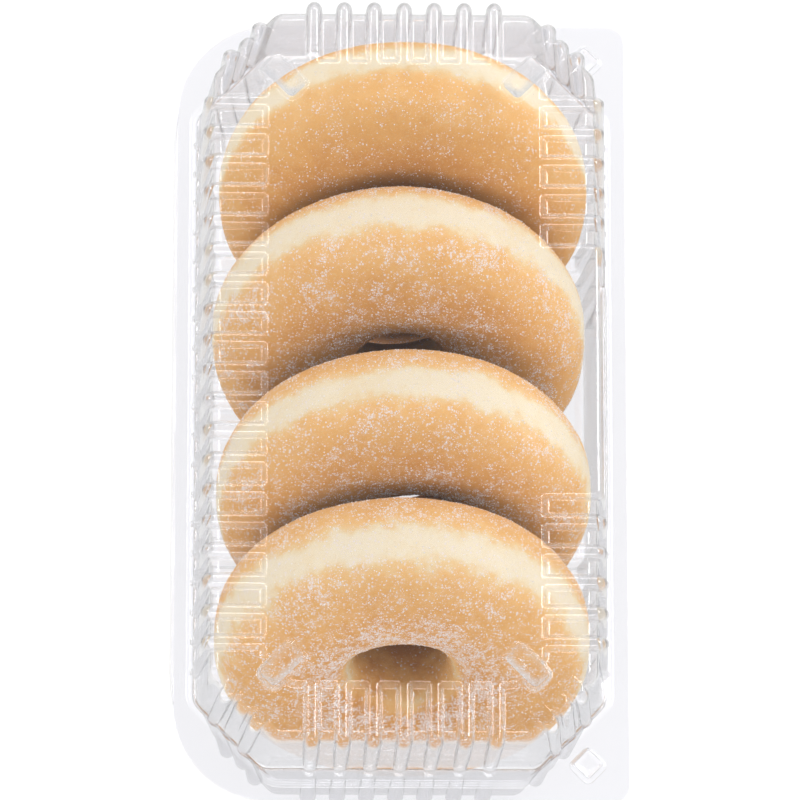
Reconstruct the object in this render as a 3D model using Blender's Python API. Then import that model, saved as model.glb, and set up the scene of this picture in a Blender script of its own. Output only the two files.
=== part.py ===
"""Clear hinged pack, shut, with four sugared ring doughnuts standing in it.

X runs across the pack from its hinge to its lock side, Y along it and Z up, and the origin is
on the floor under the pack's middle. Lengths are in millimetres and angles in degrees until
make_object turns them into metres.
"""

import math

import bmesh
import bpy
from mathutils import Euler, Vector

MM = 0.001

# The formed sheet
SHEET = 0.6
GAP = 0.3
TRAY_DEPTH = 46.0
LID_DEPTH = 44.4
BEAD_RISE = 1.0
LID_BEAD_INSETS = (0.0, 0.3)
TRAY_BEAD_INSETS = (0.9, 0.6)

# Flange outline: its hinge corners are wide curves, its lock corners small ones
FLANGE_HALF_X = 55.5
FLANGE_HALF_Y = 96.8
HINGE_CORNER = 24.0
LOCK_CORNER = 4.5
HINGE_CORNER_STEPS = 6
LOCK_CORNER_STEPS = 3
FLANGE_SIDE_STEPS = 6

# Outlines of the formed walls: half width, half length, leg of the cut corner, its rounding
BEAD_OUTER = (51.5, 93.3, 20.0, 6.0)
BEAD_INNER = (50.7, 92.3, 19.6, 6.0)
FOOT = (49.2, 88.8, 16.0, 4.0)
SHOULDER = (44.7, 87.6, 15.0, 4.0)
CROWN = (31.7, 74.3, 5.0, 2.0)
CROWN_INSET = 3.5

# Wall section
BAND_DROP = 4.2
SHOULDER_RADIUS = 2.5
RIB_RADIUS = 2.2
RIB_SWELL_TOP = 3.0
LID_RIB_FOOT = 1.0
TRAY_RIB_FOOT = 0.4
LUG_RISE = 1.2
LUG_SETBACK = 4.0
LUG_FOOT = 0.6

# Ribs: half width, pitch and the count on each half of a side, past the one at the middle
RIB_HALF = 2.0
SIDE_PITCH = 7.28
SIDE_RIBS = 9
PANEL_RIBS = 4
END_PITCH = 7.2
END_RIBS = 3
LOBE_CENTRE = 0.525
LOBE_HALF = 0.21
MIDDLE_LOBE = 0.6
FINE_SECTION = ((-1.0, 0.0), (-0.72, 0.72), (0.0, 1.0), (0.72, 0.72), (1.0, 0.0))
PLAIN_SECTION = ((-1.0, 0.0), (-0.5, 0.9), (0.5, 0.9), (1.0, 0.0))
COARSE_SIDE = (-60.0, -30.0, 0.0, 30.0, 60.0)
COARSE_END = (-20.0, 0.0, 20.0)

# Press buttons that lock the lid, one in each lock corner of its flange
BUTTON_X = 45.4
BUTTON_Y = 87.6
BUTTON_SIDE = 7.0
BUTTON_RISE = 1.6
BUTTON_TAPER = 0.8
BUTTON_ROUNDING = 1.5

# Ring doughnut
RING_RADIUS = 46.0
HOLE_RADIUS = 10.0
HALF_THICKNESS = 15.5
PLUMPNESS = 2.6
RING_STEPS = 36
SECTION_STEPS = 16

# Each doughnut: its middle in X and Y, its lean back from upright, and its turn in its own plane
DOUGHNUTS = (
    (0.8, 54.4, 30.0, 20.0),
    (-0.2, 18.3, 30.5, 140.0),
    (1.0, -20.9, 27.5, 250.0),
    (0.6, -56.6, 26.5, 75.0),
)

LID_BASE = TRAY_DEPTH + GAP


def clear_scene():
    """Removes whatever the scene already holds."""
    for old in list(bpy.data.objects):
        bpy.data.objects.remove(old, do_unlink=True)


def make_material(name, colour, roughness, alpha=1.0):
    """A plain Principled material."""
    material = bpy.data.materials.new(name)
    material.use_nodes = True
    shader = material.node_tree.nodes["Principled BSDF"]
    shader.inputs["Base Color"].default_value = (*colour, 1.0)
    shader.inputs["Roughness"].default_value = roughness
    shader.inputs["Metallic"].default_value = 0.0
    shader.inputs["Alpha"].default_value = alpha
    return material


def make_object(name, bm, material, smooth_angle=30.0):
    """Turns a mesh built in millimetres into one closed, shaded object in metres."""
    bmesh.ops.recalc_face_normals(bm, faces=bm.faces)
    bmesh.ops.triangulate(bm, faces=bm.faces)
    bmesh.ops.scale(bm, vec=(MM, MM, MM), verts=bm.verts)
    mesh = bpy.data.meshes.new(name)
    bm.to_mesh(mesh)
    bm.free()
    mesh.materials.append(material)
    mesh.shade_smooth()
    mesh.set_sharp_from_angle(angle=math.radians(smooth_angle))
    made = bpy.data.objects.new(name, mesh)
    bpy.context.scene.collection.objects.link(made)
    return made


def along_side(centres, half, section, swell=1.0):
    """Places along a wall, each with its rib weight, for half round ribs at these centres."""
    return [(c + u * half, w * swell) for c in centres for u, w in section]


def side_ribs():
    """Middles of the ribs along a full side."""
    return [k * SIDE_PITCH for k in range(-SIDE_RIBS, SIDE_RIBS + 1)]


def lock_side(section):
    """The lock side: ribs near its ends and one wide raised panel between them."""
    outer = [y for y in side_ribs() if abs(y) > (PANEL_RIBS + 0.5) * SIDE_PITCH]
    half = PANEL_RIBS * SIDE_PITCH + RIB_HALF
    edge = [(u, w) for u, w in section if u <= 0.0]
    panel = [(-half + (u + 1.0) * RIB_HALF, w) for u, w in edge]
    panel += [(-y, w) for y, w in reversed(panel)]
    return sorted(along_side(outer, RIB_HALF, section) + panel)


def cut_corner(section):
    """Places along a cut corner from -1 to 1, each with its rib weight: three small lobes."""
    places = along_side((-LOBE_CENTRE, LOBE_CENTRE), LOBE_HALF, section)
    places += along_side((0.0,), LOBE_HALF, section, MIDDLE_LOBE)
    return sorted(places)


def wall_marks(section):
    """Where each wall outline has its points, going round from the lock side, ribs included."""
    lock = lock_side(section)
    hinge = sorted(along_side(side_ribs(), RIB_HALF, section))
    end = sorted(
        along_side([k * END_PITCH for k in range(-END_RIBS, END_RIBS + 1)], RIB_HALF, section)
    )
    return full_round(lock, end, hinge, cut_corner(section))


def plain_marks():
    """The same round with few points and no ribs, for faces that the doughnuts see."""
    side = [(y, 0.0) for y in COARSE_SIDE]
    end = [(x, 0.0) for x in COARSE_END]
    return full_round(side, end, side, [])


def full_round(lock, end, hinge, corner):
    """One full turn of (stretch, quadrant, place, weight), anticlockwise seen from above."""
    marks = []
    for quadrant, (stretch, places, back) in enumerate(
        (("side", lock, False), ("end", end, True), ("side", hinge, True), ("end", end, False))
    ):
        ordered = list(reversed(places)) if back else places
        marks += [(stretch, quadrant, p, w) for p, w in ordered]
        marks += [("curve", quadrant, angle, 0.0) for angle in (0.0, 22.5, 45.0)]
        marks += [("cut", quadrant, p, w) for p, w in corner]
        marks += [("curve", quadrant, angle, 0.0) for angle in (45.1, 67.5, 90.0)]
    return marks


def on_outline(mark, outline):
    """Point and outward direction where a mark lies on a rectangle with cut, rounded corners."""
    stretch, quadrant, place, _ = mark
    half_x, half_y, leg, radius = outline
    if stretch == "side":
        sign = 1.0 if quadrant == 0 else -1.0
        return Vector((sign * half_x, place)), Vector((sign, 0.0))
    if stretch == "end":
        sign = 1.0 if quadrant == 1 else -1.0
        return Vector((place, sign * half_y)), Vector((0.0, sign))
    turned = quadrant % 2 == 1
    if turned:
        half_x, half_y = half_y, half_x
    tangent = radius * math.tan(math.radians(22.5))
    if stretch == "cut":
        reach = leg / math.sqrt(2.0) - tangent
        outward = Vector((1.0, 1.0)).normalized()
        point = Vector((half_x - leg / 2.0, half_y - leg / 2.0))
        point += Vector((-1.0, 1.0)).normalized() * place * reach
    else:
        first = place < 45.05
        centre = (
            Vector((half_x - radius, half_y - leg - tangent))
            if first
            else Vector((half_x - leg - tangent, half_y - radius))
        )
        angle = math.radians(place)
        outward = Vector((math.cos(angle), math.sin(angle)))
        point = centre + outward * radius
    quarter = math.radians(90.0 * quadrant)
    turn = ((math.cos(quarter), -math.sin(quarter)), (math.sin(quarter), math.cos(quarter)))
    return (
        Vector((turn[0][0] * v.x + turn[0][1] * v.y, turn[1][0] * v.x + turn[1][1] * v.y))
        for v in (point, outward)
    )


def loop(marks, outline, height, outward=0.0, rib_outward=0.0, rib_height=0.0):
    """One round of points on an outline; ribs stand further out and higher than the wall.

    The small lobes on a cut corner stand out, but are no higher than the wall.
    """
    points = []
    for mark in marks:
        point, direction = on_outline(mark, outline)
        flat = point + direction * (outward + mark[3] * rib_outward)
        rise = 0.0 if mark[0] == "cut" else mark[3] * rib_height
        points.append(Vector((flat.x, flat.y, height + rise)))
    return points


def inset(outline, amount):
    """The outline a sheet's thickness further in."""
    half_x, half_y, leg, radius = outline
    shorter = amount * (2.0 - math.sqrt(2.0))
    return half_x - amount, half_y - amount, leg - shorter, max(radius - amount, 0.5)


def flange_edge(height):
    """The flange's own outline, from the lock side's start, anticlockwise."""
    corners = (
        (1, 1, LOCK_CORNER, LOCK_CORNER_STEPS),
        (-1, 1, HINGE_CORNER, HINGE_CORNER_STEPS),
        (-1, -1, HINGE_CORNER, HINGE_CORNER_STEPS),
        (1, -1, LOCK_CORNER, LOCK_CORNER_STEPS),
    )
    corner_points = []
    for number, (sx, sy, radius, steps) in enumerate(corners):
        centre = Vector((sx * (FLANGE_HALF_X - radius), sy * (FLANGE_HALF_Y - radius)))
        for step in range(steps + 1):
            angle = math.radians(90.0 * (number + step / steps))
            corner_points.append(centre + radius * Vector((math.cos(angle), math.sin(angle))))
    points = []
    for here, after in zip(corner_points[-1:] + corner_points[:-1], corner_points):
        steps = FLANGE_SIDE_STEPS if (after - here).length > HINGE_CORNER else 1
        points += [here.lerp(after, step / steps) for step in range(1, steps + 1)]
    return [Vector((p.x, p.y, height)) for p in points]


def stitch(bm, first, second):
    """Joins two closed rounds of vertices that may differ in number, by their nearest points."""
    start = min(range(len(second)), key=lambda k: (second[k].co - first[0].co).length)
    second = second[start:] + second[:start]
    i, j = 0, 0
    while i < len(first) or j < len(second):
        a, b = first[i % len(first)], second[j % len(second)]
        a_next, b_next = first[(i + 1) % len(first)], second[(j + 1) % len(second)]
        forward = (a_next.co - b.co).length <= (b_next.co - a.co).length
        if j >= len(second) or (forward and i < len(first)):
            bm.faces.new((a, b, a_next))
            i += 1
        else:
            bm.faces.new((a, b, b_next))
            j += 1


def join_rounds(bm, rounds):
    """Skins a chain of rounds, and closes both of its ends."""
    skins = [[bm.verts.new(p) for p in points] for points in rounds]
    for first, second in zip(skins, skins[1:]):
        if len(first) == len(second):
            for k, (a, b) in enumerate(zip(first, second)):
                after = (k + 1) % len(first)
                bm.faces.new((a, b, second[after], first[after]))
        else:
            stitch(bm, first, second)
    bm.faces.new(skins[0])
    bm.faces.new(skins[-1])


def formed_half(depth, bead, bead_insets, rib_foot, section, lugs):
    """One half of the pack as it lies mouth down: a flange with a bead, ribbed walls, a crown."""
    shown_inset, hidden_inset = bead_insets
    marks = wall_marks(section)
    plain = plain_marks()
    shoulder = depth - BAND_DROP - SHOULDER_RADIUS
    rib_shoulder = depth - RIB_RADIUS
    band_top = depth - BAND_DROP
    corner_cut = 1.0 - math.sqrt(0.5)
    outside = [
        loop(marks, FOOT, bead + SHEET, 0.0, rib_foot),
        loop(marks, SHOULDER, shoulder, 0.0, RIB_SWELL_TOP, rib_shoulder - shoulder),
        loop(
            marks,
            SHOULDER,
            shoulder + SHOULDER_RADIUS * 0.75,
            -SHOULDER_RADIUS * corner_cut,
            RIB_SWELL_TOP,
            rib_shoulder + RIB_RADIUS * 0.75 - shoulder - SHOULDER_RADIUS * 0.75,
        ),
        loop(
            marks,
            SHOULDER,
            band_top,
            -SHOULDER_RADIUS,
            RIB_SWELL_TOP,
            depth - band_top,
        ),
    ]
    if lugs:
        outside.append(lug_round(marks, inset(SHOULDER, LUG_SETBACK), band_top + LUG_FOOT, depth))
        outside.append(lug_round(marks, CROWN, depth, depth))
        outside.append(loop(marks, inset(CROWN, CROWN_INSET), depth))
    else:
        outside.append(loop(marks, CROWN, depth))
    outside.reverse()
    flange = [
        loop(plain, inset(BEAD_INNER, shown_inset), bead + SHEET),
        loop(plain, inset(BEAD_OUTER, shown_inset), SHEET),
        flange_edge(SHEET),
        flange_edge(0.0),
        loop(plain, inset(BEAD_OUTER, hidden_inset), 0.0),
        loop(plain, inset(BEAD_INNER, hidden_inset), bead),
    ]
    inside = [
        loop(plain, inset(FOOT, SHEET), bead),
        loop(plain, inset(SHOULDER, SHEET), shoulder - SHEET),
        loop(plain, inset(SHOULDER, SHEET + SHOULDER_RADIUS), band_top - SHEET),
        loop(plain, inset(CROWN, SHEET), depth - SHEET),
    ]
    bm = bmesh.new()
    join_rounds(bm, outside + flange + inside)
    return bm


def lug_round(marks, outline, height, depth):
    """A round across the band, where ribs reach the crown and each corner's lug stands above it."""
    points = loop(marks, outline, height, 0.0, 0.0, depth - height)
    for point, (stretch, _, place, _) in zip(points, marks):
        if stretch == "cut" and abs(place) <= LOBE_CENTRE:
            point.z = depth + LUG_RISE
    return points


def button(bm, x, y, base):
    """A low rounded square with sloping sides, turned corner on, fused into the flange."""
    rounds = []
    for height, side in ((base, BUTTON_SIDE), (base + BUTTON_RISE + SHEET / 2.0, None)):
        half = BUTTON_SIDE / 2.0 if side else BUTTON_SIDE / 2.0 - BUTTON_TAPER
        points = []
        for corner in range(4):
            for step in range(3):
                angle = math.radians(90.0 * corner + 45.0 * step + 45.0)
                turned = math.radians(90.0 * corner + 90.0)
                middle = Vector((math.cos(turned), math.sin(turned)))
                middle *= (half - BUTTON_ROUNDING) * math.sqrt(2.0)
                rim = Vector((math.cos(angle), math.sin(angle))) * BUTTON_ROUNDING
                points.append(Vector((x + middle.x + rim.x, y + middle.y + rim.y, height)))
        rounds.append(points)
    join_rounds(bm, rounds)


def add_buttons(lid, material):
    """Fuses the press buttons into the lid's flange."""
    bm = bmesh.new()
    for sign in (-1.0, 1.0):
        button(bm, BUTTON_X, sign * BUTTON_Y, LID_BASE + SHEET / 2.0)
    buttons = make_object("lid_buttons", bm, material)
    buttons.hide_render = True
    buttons.display_type = "WIRE"
    union = lid.modifiers.new("Buttons", "BOOLEAN")
    union.operation = "UNION"
    union.solver = "EXACT"
    union.object = buttons


def tray():
    """The lower half: its crown is the floor that the pack stands on."""
    bm = formed_half(
        TRAY_DEPTH, -BEAD_RISE, TRAY_BEAD_INSETS, TRAY_RIB_FOOT, PLAIN_SECTION, lugs=False
    )
    for vert in bm.verts:
        vert.co.z = TRAY_DEPTH - vert.co.z
    material = make_material("clear_sheet_tray", (0.86, 0.89, 0.91), 0.06, alpha=0.25)
    return make_object("tray", bm, material)


def lid():
    """The upper half, hinged to the tray along the flange's -X edge."""
    bm = formed_half(
        LID_DEPTH, BEAD_RISE, LID_BEAD_INSETS, LID_RIB_FOOT, FINE_SECTION, lugs=True
    )
    for vert in bm.verts:
        vert.co.z += LID_BASE
    material = make_material("clear_sheet_lid", (0.86, 0.89, 0.91), 0.06, alpha=0.25)
    made = make_object("lid", bm, material)
    add_buttons(made, material)
    return made


def signed_power(value, power):
    """A power that keeps the sign."""
    return math.copysign(abs(value) ** power, value)


def ring_point(number, around, across):
    """A point of an uneven ring: angle round the hole, and angle round its plump section."""
    phase = 2.1 * number
    outer = RING_RADIUS * (1.0 - 0.006 * (1.0 + math.sin(2.0 * around + phase)))
    hole = HOLE_RADIUS * (1.0 + 0.08 * math.sin(2.0 * around + 1.3 * phase))
    hole *= 1.0 + 0.05 * math.sin(3.0 * around + phase)
    middle = (outer + hole) / 2.0
    reach = (outer - hole) / 2.0
    half = HALF_THICKNESS * (1.0 - 0.012 * (1.0 + math.sin(3.0 * around + 2.0 * phase)))
    radius = middle + reach * signed_power(math.cos(across), 2.0 / PLUMPNESS)
    height = half * signed_power(math.sin(across), 2.0 / PLUMPNESS)
    return Vector((radius * math.cos(around), radius * math.sin(around), height))


def doughnut(number, x, y, lean, turn, material):
    """One ring, leaning back and resting just above the tray's floor."""
    bm = bmesh.new()
    rounds = []
    for i in range(RING_STEPS):
        around = math.tau * i / RING_STEPS
        across = (math.tau * j / SECTION_STEPS for j in range(SECTION_STEPS))
        rounds.append([bm.verts.new(ring_point(number, around, angle)) for angle in across])
    for i, first in enumerate(rounds):
        second = rounds[(i + 1) % RING_STEPS]
        for j in range(SECTION_STEPS):
            after = (j + 1) % SECTION_STEPS
            bm.faces.new((first[j], second[j], second[after], first[after]))
    made = make_object(f"doughnut_{number}", bm, material, smooth_angle=60.0)
    tilt = Euler((math.radians(90.0 - lean), 0.0, 0.0)).to_matrix()
    turned = tilt @ Euler((0.0, 0.0, math.radians(turn))).to_matrix()
    lowest = min((turned @ vert.co).z for vert in made.data.vertices)
    made.rotation_euler = turned.to_euler()
    made.location = (x * MM, y * MM, (SHEET + GAP) * MM - lowest)
    return made


def main():
    """Builds the pack and what is in it."""
    clear_scene()
    tray()
    lid()
    crust = make_material("sugared_fried_dough", (0.72, 0.42, 0.16), 0.75)
    for number, place in enumerate(DOUGHNUTS, start=1):
        doughnut(number, *place, crust)


main()
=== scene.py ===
import math

import bpy
import numpy as np
from mathutils import Euler, Matrix, Vector, noise
from mathutils.geometry import delaunay_2d_cdt


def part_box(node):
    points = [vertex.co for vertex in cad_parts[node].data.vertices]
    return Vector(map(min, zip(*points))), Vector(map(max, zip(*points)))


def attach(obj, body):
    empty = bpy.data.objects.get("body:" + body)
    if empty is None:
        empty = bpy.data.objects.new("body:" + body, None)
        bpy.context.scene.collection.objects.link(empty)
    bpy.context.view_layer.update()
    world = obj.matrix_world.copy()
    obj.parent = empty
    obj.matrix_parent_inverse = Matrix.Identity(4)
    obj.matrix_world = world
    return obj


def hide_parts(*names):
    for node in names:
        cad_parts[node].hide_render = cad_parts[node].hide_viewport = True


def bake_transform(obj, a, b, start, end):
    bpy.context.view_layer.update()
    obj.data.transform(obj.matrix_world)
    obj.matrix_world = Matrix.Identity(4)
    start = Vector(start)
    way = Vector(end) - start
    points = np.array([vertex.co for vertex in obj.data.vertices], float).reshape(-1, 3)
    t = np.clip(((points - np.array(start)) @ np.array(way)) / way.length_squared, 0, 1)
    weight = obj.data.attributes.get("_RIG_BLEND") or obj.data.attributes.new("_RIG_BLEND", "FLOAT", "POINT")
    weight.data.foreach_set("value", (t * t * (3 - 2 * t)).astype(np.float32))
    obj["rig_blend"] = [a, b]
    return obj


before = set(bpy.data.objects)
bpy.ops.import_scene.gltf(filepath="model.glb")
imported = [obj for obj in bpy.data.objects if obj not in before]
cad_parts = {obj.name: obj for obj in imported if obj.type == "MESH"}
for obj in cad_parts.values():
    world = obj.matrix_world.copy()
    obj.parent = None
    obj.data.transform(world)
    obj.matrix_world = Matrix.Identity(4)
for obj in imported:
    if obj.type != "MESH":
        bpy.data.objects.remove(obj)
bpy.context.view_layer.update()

MM = 0.001

# Camera
# It stands a step and a half above the shut pack and looks almost straight down, tipped a little
# towards the end that the doughnuts' feet point to, so that their upper rims show.
LOOK_AT = Vector((0.1, 2.25, 46.3)) * MM
CAMERA_DISTANCE = 1.5
CAMERA_TIP = math.radians(12.6)
CAMERA_SIDE = math.radians(1.5)
CAMERA_LENS = 277.0

towards_camera = Vector((-math.sin(CAMERA_SIDE), -math.sin(CAMERA_TIP), math.cos(CAMERA_TIP)))
camera = bpy.data.objects.new("camera", bpy.data.cameras.new("camera"))
camera.data.lens = CAMERA_LENS
camera.data.clip_end = 50.0
camera.location = LOOK_AT + towards_camera.normalized() * CAMERA_DISTANCE
across_view = Vector((0.0, 1.0, 0.0)).cross(towards_camera).normalized()
up_view = towards_camera.normalized().cross(across_view)
camera.rotation_euler = (
    Matrix((across_view, up_view, towards_camera.normalized())).transposed().to_euler()
)
bpy.context.scene.collection.objects.link(camera)
bpy.context.scene.camera = camera

# Studio
# A white table that glows like a light box, in a white room, with a soft box on each of the four
# sides. The room is dimmer straight above the pack, so that the lid's crown looks clear.
FLOOR_SIZE = 14.0
FLOOR_WHITE = "747474"
FLOOR_GLOW = 0.9
SIDES_GLOW = 1.0
OVERHEAD_GLOW = 0.36
# How high a direction is, as the sine, where the room starts to dim, and where it is dimmest
DIMMING = (0.72, 0.9)
ROOM_WHITE = (0.98, 0.99, 1.0, 1.0)
# Soft boxes: name, place and size in metres, and radiance
LIGHTS = (
    ("light_right", (0.95, 0.32, 1.06), (1.2, 0.3), 9.5),
    ("light_left", (-1.15, 0.3, 0.85), (1.1, 0.17), 9.0),
    ("light_front", (-0.15, -0.95, 1.15), (1.1, 0.3), 4.5),
    ("light_back", (0.1, 1.3, 0.95), (1.0, 0.15), 9.0),
)


def linear(code):
    """An sRGB hex colour as linear red, green, blue and alpha."""
    shares = [int(code[k:k + 2], 16) / 255.0 for k in (0, 2, 4)]
    return (*[s / 12.92 if s <= 0.04045 else ((s + 0.055) / 1.055) ** 2.4 for s in shares], 1.0)


def add(tree, kind, settings=None, links=None):
    """Adds a node, with settings by attribute or socket, and links by socket."""
    made = tree.nodes.new(kind)
    for key, value in (settings or {}).items():
        if isinstance(key, int) or key in made.inputs:
            made.inputs[key].default_value = value
        else:
            setattr(made, key, value)
    for key, source in (links or {}).items():
        tree.links.new(source, made.inputs[key])
    return made


def bare_material(name):
    """A material whose node tree is empty."""
    material = bpy.data.materials.new(name)
    material.use_nodes = True
    material.node_tree.nodes.clear()
    return material


def lit_table():
    """White acrylic over lamps: even and matt, with a glow of its own."""
    material = bare_material("lit_white_table")
    tree = material.node_tree
    acrylic = add(
        tree,
        "ShaderNodeBsdfPrincipled",
        {"Base Color": linear(FLOOR_WHITE), "Roughness": 1.0, "Specular IOR Level": 0.0,
         "Emission Color": (1.0, 1.0, 1.0, 1.0), "Emission Strength": FLOOR_GLOW},
    )
    add(tree, "ShaderNodeOutputMaterial", None, {"Surface": acrylic.outputs[0]})
    return material


half_floor = FLOOR_SIZE / 2.0
floor_mesh = bpy.data.meshes.new("floor")
floor_mesh.from_pydata(
    [(x, y, 0.0) for x, y in ((-half_floor, -half_floor), (half_floor, -half_floor),
                              (half_floor, half_floor), (-half_floor, half_floor))],
    [],
    [(0, 1, 2, 3)],
)
floor_mesh.materials.append(lit_table())
floor = bpy.data.objects.new("floor", floor_mesh)
bpy.context.scene.collection.objects.link(floor)

for name, place, size, radiance in LIGHTS:
    lamp = bpy.data.lights.new(name, "AREA")
    lamp.shape = "RECTANGLE"
    lamp.size, lamp.size_y = size
    lamp.energy = radiance * math.pi * size[0] * size[1]
    box_light = bpy.data.objects.new(name, lamp)
    box_light.location = place
    box_light.rotation_euler = (-(Vector(place) - LOOK_AT)).to_track_quat("-Z", "Y").to_euler()
    bpy.context.scene.collection.objects.link(box_light)

surround = bpy.data.worlds.new("surround")
surround.use_nodes = True
surround.node_tree.nodes.clear()
direction = add(surround.node_tree, "ShaderNodeTexCoord")
height = add(surround.node_tree, "ShaderNodeSeparateXYZ", None,
             {0: direction.outputs["Generated"]})
overhead = add(
    surround.node_tree,
    "ShaderNodeMapRange",
    {"interpolation_type": "SMOOTHSTEP", 1: DIMMING[0], 2: DIMMING[1], 3: SIDES_GLOW,
     4: OVERHEAD_GLOW},
    {0: height.outputs["Z"]},
)
glow = add(
    surround.node_tree,
    "ShaderNodeBackground",
    {"Color": ROOM_WHITE},
    {"Strength": overhead.outputs[0]},
)
add(surround.node_tree, "ShaderNodeOutputWorld", None, {"Surface": glow.outputs[0]})
bpy.context.scene.world = surround
bpy.context.scene.view_settings.view_transform = "Standard"
# A look through the shut pack crosses up to ten walls, each with two faces
light_paths = bpy.context.scene.cycles
light_paths.transparent_max_bounces = 40
light_paths.max_bounces = 6
light_paths.diffuse_bounces = 1
light_paths.glossy_bounces = 3
light_paths.caustics_reflective = False

# Tray
# The lower half of the pack, pressed from one sheet of clear PET over a ribbed mould, mouth up. Its
# flange carries a bead that nests in the lid's, and two studs that press into the lid's buttons.
# Lengths are in millimetres, and each half is drawn mouth down with its flange at zero.
SHEET = 0.35
FLANGE_FACE = 0.6
TRAY_DEPTH = 46.0
TRAY_BEAD = -1.0
TRAY_BEAD_INSET = 0.9
TRAY_RIB_FOOT = 0.4
STUD_RISE = -1.1
FLANGE = (55.5, 96.8)
HINGE_FOLD = 0.75
HINGE_CORNER = 24.0
LOCK_CORNER = 4.5

# Outlines of the formed walls: half width, half length, leg of the cut corner, its rounding
BEAD_OUTER = (51.5, 93.3, 20.0, 6.0)
BEAD_INNER = (50.7, 92.3, 19.6, 6.0)
FOOT = (49.2, 88.8, 16.0, 4.0)
SHOULDER = (45.7, 88.5, 15.4, 4.0)
CROWN = (31.7, 74.3, 5.0, 2.0)

BAND_DROP = 2.6
SHOULDER_RADIUS = 2.5
SHOULDER_SHARPNESS = 1.5
RIB_RADIUS = 2.0
RIB_SWELL = 2.1
RIB_HALF = 2.0
SIDE_PITCH = 7.28
END_PITCH = 7.2
LOBE_CENTRE = 0.525
LOBE_HALF = 0.21
MIDDLE_LOBE = 0.6
PANEL_HALF = 31.12

# How the crown's edge drops to the band beside it: distance out, and drop
CROWN_EDGE = (
    (0.0, 0.0), (0.45, 0.07), (0.85, 0.26), (1.2, 0.65), (1.5, 1.15), (1.8, 1.55),
    (2.15, 1.78), (2.8, 1.9), (6.0, 2.25), (10.5, 2.6),
)
BAND_WIDTH = 10.5
# The bead's slope: share of the way to its outer outline, distance out, and share of its depth
BEAD_SLOPE = (
    (0, -0.3, 0), (0, 0.05, 0.12), (0.5, 0, 0.5), (1, -0.05, 0.88), (1, 0.3, 1), (1, 0.7, 1),
)
# Places of the stations across half a rib, in half widths
ACROSS_RIB = (1.2, 1.04, 0.985, 0.93, 0.84, 0.7, 0.5, 0.26)


def round_stations():
    """One turn of stations: stretch, quadrant, place, rib place, widening, strength, panel gap."""
    across = sorted([-u for u in ACROSS_RIB] + [0.0] + list(ACROSS_RIB))
    ribs = [k * SIDE_PITCH + u * RIB_HALF for k in range(-9, 10) for u in across]
    hinge = [(y, y, 1.0, 1.0, 9.0) for y in ribs]
    lock = [row for row in hinge if abs(row[0]) > PANEL_HALF + RIB_HALF]
    edge = [PANEL_HALF - RIB_HALF + u * RIB_HALF for u in [0.0, *reversed(ACROSS_RIB)]]
    panel = [-y for y in reversed(edge)] + [-20.0, -10.0, 0.0, 10.0, 20.0] + edge
    lock += [
        (y, SIDE_PITCH / 2.0, 1.0, 1.0, max(0.0, (abs(y) - PANEL_HALF + RIB_HALF) / RIB_HALF))
        for y in panel
    ]
    end = [
        (k * END_PITCH + u * RIB_HALF, k * SIDE_PITCH + u * RIB_HALF, 1.0, 1.0, 9.0)
        for k in range(-3, 4) for u in across
    ]
    scale = SIDE_PITCH / LOBE_CENTRE
    cut = [
        (c * LOBE_CENTRE + u * LOBE_HALF, (c * LOBE_CENTRE + u * LOBE_HALF) * scale,
         LOBE_HALF * scale / RIB_HALF, 1.0 if c else MIDDLE_LOBE, 9.0)
        for c in (-1, 0, 1) for u in across
    ]
    turn = []
    stretches = (("side", lock, 1), ("end", end, -1), ("side", hinge, -1), ("end", end, 1))
    for quadrant, (stretch, rows, way) in enumerate(stretches):
        turn += [(stretch, quadrant, *row) for row in sorted(rows, key=lambda row: way * row[0])]
        turn += [("curve", quadrant, a, 0.0, 1.0, 0.0, 9.0) for a in (1, 9, 18, 27, 36, 44.9)]
        turn += [("cut", quadrant, *row) for row in cut]
        turn += [("curve", quadrant, a, 0.0, 1.0, 0.0, 9.0) for a in (45.1, 54, 63, 72, 81, 89)]
    return turn


def on_outline(station, outline):
    """Point and outward direction of a station on a rectangle with cut, rounded corners."""
    stretch, quadrant, place = station[:3]
    half_x, half_y, leg, radius = outline
    if stretch == "side":
        sign = 1.0 if quadrant == 0 else -1.0
        return np.array((sign * half_x, place)), np.array((sign, 0.0))
    if stretch == "end":
        sign = 1.0 if quadrant == 1 else -1.0
        return np.array((place, sign * half_y)), np.array((0.0, sign))
    if quadrant % 2 == 1:
        half_x, half_y = half_y, half_x
    tangent = radius * math.tan(math.radians(22.5))
    if stretch == "cut":
        outward = np.array((1.0, 1.0)) / math.sqrt(2.0)
        along = np.array((-1.0, 1.0)) * place * (leg / 2.0 - tangent / math.sqrt(2.0))
        point = np.array((half_x - leg / 2.0, half_y - leg / 2.0)) + along
    else:
        centre = (half_x - radius, half_y - leg - tangent)
        if place > 45.0:
            centre = (half_x - leg - tangent, half_y - radius)
        outward = np.array((math.cos(math.radians(place)), math.sin(math.radians(place))))
        point = np.array(centre) + outward * radius
    c, s = ((1, 0), (0, 1), (-1, 0), (0, -1))[quadrant]
    turn = np.array(((c, -s), (s, c)))
    return turn @ point, turn @ outward


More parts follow.
